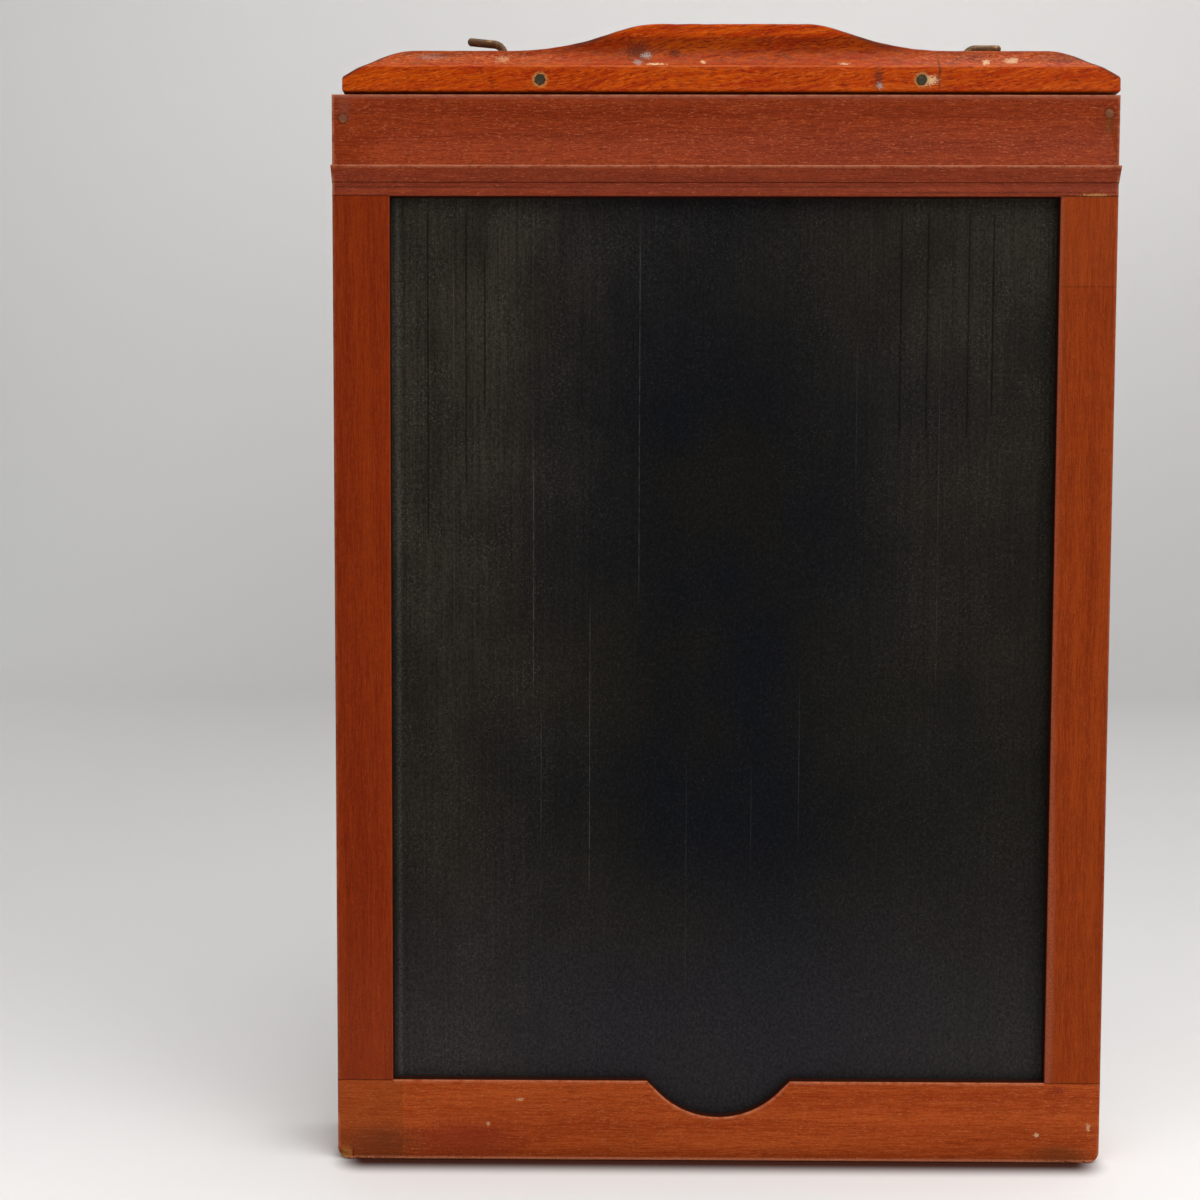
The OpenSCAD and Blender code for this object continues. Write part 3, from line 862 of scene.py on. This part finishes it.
def velvet():
    """Short black pile, lighter where it turns away."""
    t = Tree("velvet_pile")
    tufts = t.noise(t.x * 8, t.y * 8, t.z * 8, detail=2)
    colour = t.mix(tufts, tone(12, 11, 13), tone(34, 31, 36))
    pile = {"Specular IOR Level": 0.1, "Sheen Weight": 0.4, "Sheen Roughness": 0.5}
    return t.finish(colour, 0.95, tufts, depth=0.15, more=pile)


def dress(names, material):
    """Gives CAD nodes a material, and closes their meshes so that they shade cleanly."""
    for name in names:
        node = frame["nodes"][name]
        node.material_slots[0].material = material
        weld = node.modifiers.new("weld", "WELD")
        weld.merge_threshold = WELD


def soften(names, width):
    """Rounds the sharp edges of CAD nodes by a small width."""
    for name in names:
        bevel = frame["nodes"][name].modifiers.new("arris", "BEVEL")
        bevel.width = width * MM
        bevel.segments = 2
        bevel.limit_method = "ANGLE"
        bevel.angle_limit = math.radians(40)
        bevel.harden_normals = True


# ---------------------------------------------------------------- the object

def both(name):
    return [f"front_{name}", f"rear_{name}"]


PALE = tone(232, 196, 150)
GREY = tone(170, 158, 150)
SOOT = tone(60, 34, 30)

# Spots worn or stained into the front handle: middle, half size, colour and strength.
HANDLE_SPOTS = [
    ((-16.5, 215.6), (3.2, 1.9), SOOT, 0.6),
    ((-9.5, 215.4), (1.3, 0.8), SOOT, 0.6),
    ((-15.0, 214.9), (1.0, 0.7), GREY, 0.8),
    ((-16.6, 213.4), (0.9, 0.8), GREY, 0.6),
    ((-13.2, 212.9), (1.9, 0.28), PALE, 0.9),
    ((-4.1, 213.4), (0.5, 0.45), PALE, 0.8),
    ((22.6, 213.0), (1.1, 0.35), PALE, 0.7),
    ((49.6, 213.4), (0.7, 0.8), PALE, 0.8),
    ((54.6, 213.8), (1.5, 0.7), PALE, 0.6),
    ((-56.0, 214.6), (3.0, 0.7), GREY, 0.25),
    ((-53.5, 214.9), (3.4, 0.5), SOOT, 0.4),
    ((-42.5, 214.0), (1.2, 0.8), PALE, 0.3),
    ((29.1, 209.8), (0.9, 2.6), SOOT, 0.6),
    ((29.3, 208.6), (0.6, 0.7), GREY, 0.7),
    ((40.6, 211.5), (0.28, 4.2), SOOT, 0.6),
    ((38.6, 209.6), (1.8, 0.9), PALE, 0.75),
    ((47.0, 214.6), (3.6, 1.0), SOOT, 0.35),
    ((64.0, 214.3), (5.0, 1.1), SOOT, 0.35),
]
# Long scratches down the front slide: place across, lowest and highest point, strength.
SCRATCHES = [
    (-16.0, 108, 187, 0.3), (-36.5, 90, 143, 0.35), (-25.5, 50, 113, 0.3), (15.5, 60, 97, 0.15),
    (-35.0, 60, 92, 0.2), (26.0, 130, 165, 0.15), (42.0, 90, 170, 0.15), (-52.0, 100, 180, 0.2),
    (-6.5, 30, 82, 0.12), (6.2, 55, 80, 0.12), (57.0, 20, 27, 0.5), (59.0, 18, 25, 0.45),
]
# Dark streaks down it: place across, lowest and highest point.
DARK_STREAKS = [
    (34.3, 141, 187), (39.4, 141, 187), (47.3, 141, 187), (52.0, 145, 187), (-57.0, 120, 187),
    (-49.6, 130, 187), (-46.0, 145, 180),
]

# Chips knocked out of a piece: middle, half size and seed of each.
CHIPS = {
    "front_bottom_cheek": [
        ((-74.6, -8.1, 1.0), (1.9, 0.55, 1.1), 1.3),
        ((-71.2, -8.2, 0.0), (0.8, 0.5, 0.45), 4.1),
        ((-67.5, -8.2, 0.1), (0.6, 0.4, 0.4), 6.7),
        ((68.4, -8.2, 0.1), (0.9, 0.45, 0.45), 8.2),
        ((71.8, -8.2, 0.2), (0.6, 0.45, 0.4), 2.6),
        ((-13.6, -8.15, 15.4), (0.9, 0.45, 0.5), 5.5),
        ((-39.2, -8.25, 12.2), (1.2, 0.33, 0.35), 7.4),
        ((62.4, -8.2, 5.4), (0.35, 0.3, 0.35), 9.1),
        ((72.6, -8.2, 7.2), (0.5, 0.3, 0.6), 3.9),
    ],
}

# Axis and place of the planes where an arris changes its width.
STILE_CUTS = [(2, OPEN_LOW), (2, OPEN_HIGH)]
CHEEK_CUTS = [(0, -OPEN_X), (0, OPEN_X)]


def left_stile_marks(t, colour):
    """Paler, mottled wood near the foot."""
    return t.mix(t.z.rise(60, 16) * (t.torn() + 0.5) * 0.3, colour, tone(150, 72, 44))


def right_stile_marks(t, colour):
    """A broad pinkish band rubbed along the inner arris, and a faint line across, high up."""
    line_z = 170.9
    inner = t.x.abs() - OPEN_X + t.z.rise(20, 110) * 0.9
    band = inner.rise(2.0, 0.8) * (t.torn() * 1.5 + 0.7) * t.y.rise(0, -1)
    colour = t.mix(t.z.rise(line_z - 0.1, line_z + 0.2) * 0.03, colour, tone(196, 110, 60))
    colour = t.shade(colour, 1 - t.z.near(line_z, 0.25) * 0.25)
    return t.mix(band * 0.7, colour, tone(150, 82, 58))


def top_cheek_marks(t, colour):
    """The rib's crest, rubbed and painted lighter as a highlight, and its greyer slope, grain lines
    in the strip under it, a paler top edge, painted shade rings round the corner pins and a few
    stains."""
    # The crest is rubbed, and painted lighter as a highlight where it faces up to the light.
    crest = t.z.near(RIB_CREST, 0.32) * (t.y.abs() - RIB_Y).rise(-0.7, -0.3)
    colour = t.mix(crest * (t.torn() * 1.4 + 0.75), colour, tone(184, 108, 76))
    colour = t.mix(t.z.rise(RIB_CREST, RIB_CREST - 1) * 0.22, colour, tone(122, 66, 54))
    colour = t.mix(t.z.rise(FRAME_H - 1.2, FRAME_H - 0.5) * 0.35, colour, tone(156, 92, 74))
    # Painted shade in the gap round each corner pin.
    for x, z in CORNER_PINS:
        ring = distance_to(t, x, z).near(CORNER_PIN_R + 0.15, 0.4) * t.y.rise(0, -1)
        colour = t.shade(colour, 1 - ring * 0.4)
    strip = t.z.rise(RIB_FOOT, RIB_FOOT - 0.4)
    lines = t.noise(t.x * 0.01, t.y, t.z * 1.3, detail=1).rise(0.42, 0.34)
    colour = t.shade(colour, 1 - strip * lines * 0.3)
    return stain(t, colour, [
        ((72.9, 201.6), (1.1, 2.6), tone(96, 60, 26), 0.5),
        ((-72.6, 204.6), (1.6, 2.6), tone(118, 66, 50), 0.4),
        ((70.6, 188.1), (2.8, 0.35), tone(186, 132, 74), 0.8),
    ])


def bottom_cheek_marks(t, colour):
    """A faint upright line with browner wood beside it, worn spots and a rubbed foot, painted
    lighter still as a highlight.
    """
    line_x = -62.3
    browner = t.x.rise(line_x + 0.2, line_x - 0.2)
    colour = t.mix(browner * 0.3, colour, tone(112, 56, 20))
    colour = t.shade(colour, 1 - t.x.near(line_x, 0.2) * 0.15)
    # The rubbed foot is worn pale and painted brighter still as a highlight, though it faces down.
    rubbed_foot_and_highlight = t.z.rise(0.95, 0.45) * (t.torn() + 0.9) * t.z.rise(-0.2, 0.1)
    colour = t.mix(rubbed_foot_and_highlight * 0.85, colour, tone(214, 128, 92))
    return stain(t, colour, [
        ((-50.0, 4.0), (11.0, 4.2), tone(122, 40, 28), 0.5),
        ((-66.5, 3.5), (9.0, 4.0), tone(92, 48, 28), 0.5),
        ((-73.4, 0.9), (1.5, 1.7), tone(158, 104, 50), 0.8),
        ((-71.9, 1.2), (0.22, 1.6), tone(80, 22, 10), 0.7),
        ((67.0, 1.7), (6.5, 1.9), tone(104, 56, 28), 0.6),
        ((62.6, 5.6), (0.5, 0.5), PALE, 0.6),
        ((72.7, 7.2), (0.4, 0.9), PALE, 0.45),
        ((-39.0, 12.2), (0.9, 0.3), PALE, 0.4),
        ((-45.3, 7.3), (0.4, 0.4), PALE, 0.4),
        ((66.5, 14.6), (1.8, 0.8), tone(112, 36, 24), 0.5),
    ])


left_wood = frame_wood(
    "left_stile_wood", "z",
    (tone(109, 30, 5), tone(133, 47, 9), tone(152, 76, 42), tone(158, 88, 56)),
    stile_edges, dashes=0.75, extra=left_stile_marks,
)
right_wood = frame_wood(
    "right_stile_wood", "z",
    (tone(117, 39, 7), tone(146, 58, 14), tone(166, 90, 50), tone(170, 92, 60)),
    stile_edges, dashes=0.75, extra=right_stile_marks,
)
top_wood = frame_wood(
    "top_cheek_wood", "x",
    (tone(109, 33, 8), tone(141, 54, 20), tone(178, 94, 56), tone(190, 124, 92)),
    top_edges, dashes=1.8, extra=top_cheek_marks,
)
bottom_wood = frame_wood(
    "bottom_cheek_wood", "x",
    (tone(139, 50, 14), tone(173, 78, 30), tone(198, 118, 70), tone(196, 120, 84)),
    bottom_edges, dashes=1.15, extra=bottom_cheek_marks,
)
core_wood = frame_wood(
    "rail_core_wood", "x",
    (tone(100, 44, 22), tone(128, 62, 34), tone(150, 88, 56), tone(150, 96, 66)),
    core_edges, dashes=0.8,
)
varnished = handle_wood()
black = slide_black()
pin_brass = metal("pin_brass_old", tone(122, 96, 44), tone(50, 40, 18), 0.42, 0.9)
corner_brass = metal(
    "corner_pin_brass_stained", tone(152, 92, 52), tone(116, 64, 34), 0.5, 0.9,
)
hook_brass = metal("hook_brass_old", tone(164, 120, 66), tone(96, 66, 36), 0.36, 0.9)
steel = metal("spring_steel_leaf", tone(150, 152, 156), tone(88, 84, 80), 0.3, 0.3)

worn = {
    "left_stile": (stile_width, STILE_CUTS, "frame_wood", left_wood),
    "right_stile": (stile_width, STILE_CUTS, "frame_wood", right_wood),
    "bottom_rail": (core_width, [], "frame_wood", core_wood),
    "top_rail": (core_width, [], "frame_wood", core_wood),
}
for side in ("front", "rear"):
    worn[f"{side}_top_cheek"] = (cheek_width, CHEEK_CUTS, "frame_wood", top_wood)
    worn[f"{side}_bottom_cheek"] = (cheek_width, CHEEK_CUTS, "frame_wood", bottom_wood)
    worn[f"{side}_slide_sheet"] = (sheet_width, [], "slide_black", black)
for node, (width_at, cuts, slot, material) in worn.items():
    piece = rounded(node, width_at, cuts)
    if node in CHIPS:
        cut_away(piece, [splinter(*chip) for chip in CHIPS[node]])
    piece.data.materials.clear()
    piece.data.materials.append(material)

for side, rear, seed in (("front", False, 3.1), ("rear", True, 17.7)):
    handle = worn_handle(side, rear, seed)
    handle.data.materials.clear()
    handle.data.materials.append(varnished)

dress(both("bottom_ledge") + both("top_ledge"), core_wood)
dress(both("handle_pins") + ["spring_rivets"], pin_brass)
dress(both("corner_pins"), corner_brass)
dress(["left_lock_hook", "right_lock_hook"], hook_brass)
dress(both("plate_springs") + both("end_spring") + both("trap_spring"), steel)
dress(["septum"], septum_black())
dress(both("trap_velvet"), velvet())
soften(both("corner_pins") + both("handle_pins"), 0.08)


# ---------------------------------------------------------------- stage

LENS = 36.07                                    # for a sensor 36 mm wide
CAMERA_PLACE = (-0.02212, -0.24039, 0.12054)    # in metres
CAMERA_PITCH = -2.417                           # in degrees
CAMERA_YAW = 0.351
CAMERA_ROLL = 0.172


def stage_floor():
    """A pale sweep: a floor that curves up into a wall far behind the object."""
    half_w, front, bend, radius, high = 3.0, -2.5, 0.75, 0.4, 2.5    # in metres
    profile = [(front, 0.0), (bend, 0.0)]
    steps = 16
    for i in range(1, steps + 1):
        angle = math.pi / 2 * i / steps
        profile.append((bend + radius * math.sin(angle), radius * (1 - math.cos(angle))))
    profile.append((bend + radius, high))
    bm = bmesh.new()
    rows = [[bm.verts.new((x, y, z)) for y, z in profile] for x in (-half_w, half_w)]
    for i in range(len(profile) - 1):
        bm.faces.new((rows[0][i], rows[1][i], rows[1][i + 1], rows[0][i + 1]))
    floor = mesh_object("stage_floor", bm)
    floor.data.shade_smooth()
    floor.data.materials.append(stage_paper())


def stage_paper():
    """Pale paper with painted shadow darkening it behind the object, painted light paling it up the
    wall and towards the left, and a painted contact shadow where the object stands on it.
    """
    t = Tree("stage_paper")
    shadow_start = -22
    shadow_length = 115
    # Painted shadow darkens the paper behind the object; painted light pales it up the wall and
    # towards the left.
    behind = 1 - ((t.y - shadow_start).most(0) * (-1 / shadow_length)).math("EXPONENT")
    left = t.x.rise(-150, -700) * t.y.rise(0, 300)
    colour = t.mix(behind, (0.87, 0.85, 0.83), (0.55, 0.54, 0.53))
    colour = t.mix(t.z.rise(-200, 800), colour, (0.90, 0.88, 0.86))
    colour = t.mix(left * 0.5, colour, (0.90, 0.90, 0.90))
    # A painted contact shadow, dark brown, along the front of the object's foot.
    beside = (t.x.abs() - (HALF_W - 6)).most(0) * 0.75
    before = (t.y.abs() - FACE_Y).most(0)
    gap = (beside * beside + before * before).power(0.5)
    painted_contact_shadow = tuple(c * 0.7 for c in tone(70, 32, 18))
    colour = t.mix(gap.rise(0.9, 6.2), painted_contact_shadow, colour)
    return t.finish(colour, 0.7, more={"Specular IOR Level": 0.2})


def area_light(name, place, aim, size, power):
    data = bpy.data.lights.new(name, "AREA")
    data.shape = "RECTANGLE"
    data.size, data.size_y = size
    data.energy = power
    lamp = bpy.data.objects.new(name, data)
    lamp.location = place
    lamp.rotation_euler = (Vector(aim) - Vector(place)).to_track_quat("-Z", "Y").to_euler()
    bpy.context.scene.collection.objects.link(lamp)


def stage_lights():
    area_light("overhead", (0.35, -0.35, 1.25), (0, 0.05, 0.1), (1.4, 1.2), 17.5)
    area_light("right_fill", (1.3, -0.9, 0.7), (0, 0, 0.1), (0.9, 0.9), 7)
    area_light("left_fill", (-1.4, -0.8, 0.8), (0, 0, 0.1), (0.9, 0.9), 4.4)
    world = bpy.data.worlds.new("stage_world")
    bpy.context.scene.world = world
    world.use_nodes = True
    nodes, links = world.node_tree.nodes, world.node_tree.links
    # The room is dim behind the camera and bright above and behind the object.
    direction = nodes.new("ShaderNodeTexCoord")
    split = nodes.new("ShaderNodeSeparateXYZ")
    bright = nodes.new("ShaderNodeMapRange")
    links.new(direction.outputs["Generated"], split.inputs[0])
    links.new(split.outputs["Y"], bright.inputs["Value"])
    for name, value in (("From Min", -0.9), ("From Max", 0.3), ("To Min", 0.039), ("To Max", 0.58)):
        bright.inputs[name].default_value = value
    # Where the camera looks straight past the paper, the room is as pale as the paper.
    rays = nodes.new("ShaderNodeLightPath")
    seen = nodes.new("ShaderNodeMath")
    seen.operation = "MAXIMUM"
    links.new(rays.outputs["Is Camera Ray"], seen.inputs[0])
    links.new(bright.outputs[0], seen.inputs[1])
    background = nodes["Background"]
    background.inputs["Color"].default_value = (0.75, 0.76, 0.78, 1)
    links.new(seen.outputs[0], background.inputs["Strength"])


def stage_camera():
    """The camera stands close in front, a little to the left, and looks slightly down."""
    data = bpy.data.cameras.new("camera")
    data.sensor_width = 36
    data.lens = LENS
    data.clip_start = 0.01
    data.clip_end = 50
    camera = bpy.data.objects.new("camera", data)
    turn = Matrix.Rotation(math.radians(CAMERA_YAW), 4, "Z")
    tilt = Matrix.Rotation(math.radians(90 + CAMERA_PITCH), 4, "X")
    roll = Matrix.Rotation(math.radians(CAMERA_ROLL), 4, "Z")
    camera.matrix_world = Matrix.Translation(CAMERA_PLACE) @ turn @ tilt @ roll
    bpy.context.scene.collection.objects.link(camera)
    bpy.context.scene.camera = camera


stage_floor()
stage_lights()
stage_camera()
bpy.context.scene.view_settings.view_transform = "Standard"
